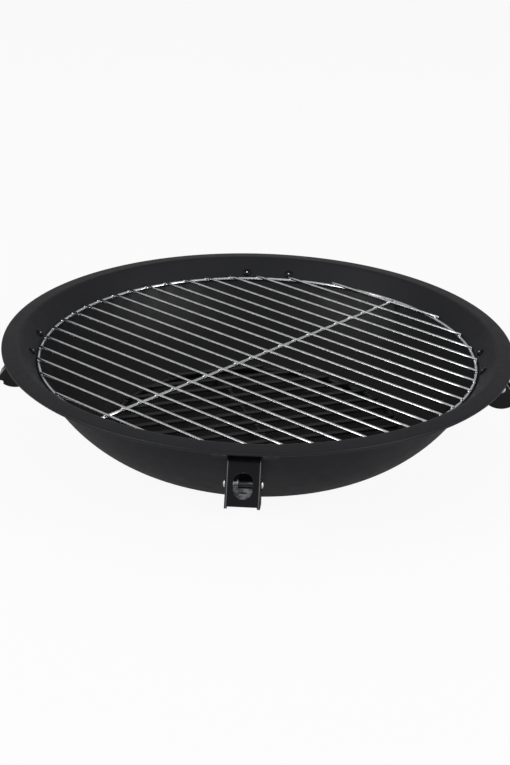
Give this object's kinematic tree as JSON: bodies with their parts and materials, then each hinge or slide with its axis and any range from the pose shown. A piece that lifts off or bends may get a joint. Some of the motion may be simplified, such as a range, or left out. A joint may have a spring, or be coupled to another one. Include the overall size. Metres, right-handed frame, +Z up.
{
  "type": "portable fire pit with grate",
  "caption": "Portable round steel fire bowl with a lift-off cooking grate, a charcoal grate below it and short channel legs that fold under the bowl and lock open.",
  "frame": {"origin": "centre of the bowl's flat underside, on the plane it stands on with the legs folded", "axes": "+Z up along the bowl's axis, -Y towards the front leg, +X towards the right leg"},
  "size_m": [0.5786, 0.5786, 0.1196],
  "materials": {
    "bowl_paint": "satin heat-resistant black",
    "bracket_paint": "satin black",
    "leg_paint": "satin black",
    "black_rivets": "satin black over steel",
    "zinc": "bright zinc plate",
    "lock_zinc": "dull zinc plate",
    "spring_wire": "drawn spring wire",
    "grate_chrome": "bright plated wire",
    "charcoal_grate": "matt black, seasoned by heat"
  },
  "bodies": {
    "bowl": {"bowl": "bowl_paint", "bracket_front": "bracket_paint", "bracket_right": "bracket_paint", "bracket_back": "bracket_paint", "bracket_left": "bracket_paint", "bracket_rivets": "black_rivets", "pivot_rivets": "zinc"},
    "leg_front": {"leg_front": "leg_paint"},
    "lock_front": {"lock_plate_front": "lock_zinc", "lock_spring_front": "spring_wire"},
    "leg_right": {"leg_right": "leg_paint"},
    "lock_right": {"lock_plate_right": "lock_zinc", "lock_spring_right": "spring_wire"},
    "leg_back": {"leg_back": "leg_paint"},
    "lock_back": {"lock_plate_back": "lock_zinc", "lock_spring_back": "spring_wire"},
    "leg_left": {"leg_left": "leg_paint"},
    "lock_left": {"lock_plate_left": "lock_zinc", "lock_spring_left": "spring_wire"},
    "cooking_grate": {"cooking_grate_ring": "grate_chrome", "cooking_grate_rods": "grate_chrome", "cooking_grate_cross_rod": "grate_chrome"},
    "charcoal_grate": {"charcoal_grate_ring": "charcoal_grate", "charcoal_grate_bars": "charcoal_grate", "charcoal_grate_cross_bar": "charcoal_grate"}
  },
  "joints": [
    {"name": "leg_front_hinge", "type": "hinge", "parent": "bowl", "child": "leg_front", "pos_m": [0, -0.269, 0.0795], "axis": [-1, 0, 0], "range_deg": [0, 86.5]},
    {"name": "lock_front_hinge", "type": "hinge", "parent": "bowl", "child": "lock_front", "pos_m": [0, -0.269, 0.0795], "axis": [1, 0, 0], "range_deg": [0, 10], "stiffness_Nm_per_rad": 0.05},
    {"name": "leg_right_hinge", "type": "hinge", "parent": "bowl", "child": "leg_right", "pos_m": [0.269, 0, 0.0795], "axis": [0, -1, 0], "range_deg": [0, 86.5]},
    {"name": "lock_right_hinge", "type": "hinge", "parent": "bowl", "child": "lock_right", "pos_m": [0.269, 0, 0.0795], "axis": [0, 1, 0], "range_deg": [0, 10], "stiffness_Nm_per_rad": 0.05},
    {"name": "leg_back_hinge", "type": "hinge", "parent": "bowl", "child": "leg_back", "pos_m": [0, 0.269, 0.0795], "axis": [1, 0, 0], "range_deg": [0, 86.5]},
    {"name": "lock_back_hinge", "type": "hinge", "parent": "bowl", "child": "lock_back", "pos_m": [0, 0.269, 0.0795], "axis": [-1, 0, 0], "range_deg": [0, 10], "stiffness_Nm_per_rad": 0.05},
    {"name": "leg_left_hinge", "type": "hinge", "parent": "bowl", "child": "leg_left", "pos_m": [-0.269, 0, 0.0795], "axis": [0, 1, 0], "range_deg": [0, 86.5]},
    {"name": "lock_left_hinge", "type": "hinge", "parent": "bowl", "child": "lock_left", "pos_m": [-0.269, 0, 0.0795], "axis": [0, -1, 0], "range_deg": [0, 10], "stiffness_Nm_per_rad": 0.05},
    {"name": "cooking_grate_lift", "type": "slide", "parent": "bowl", "child": "cooking_grate", "axis": [0, 0, 1], "range_m": [0, 0.15]},
    {"name": "charcoal_grate_lift", "type": "slide", "parent": "bowl", "child": "charcoal_grate", "axis": [0, 0, 1], "range_m": [0, 0.07]}
  ]
}
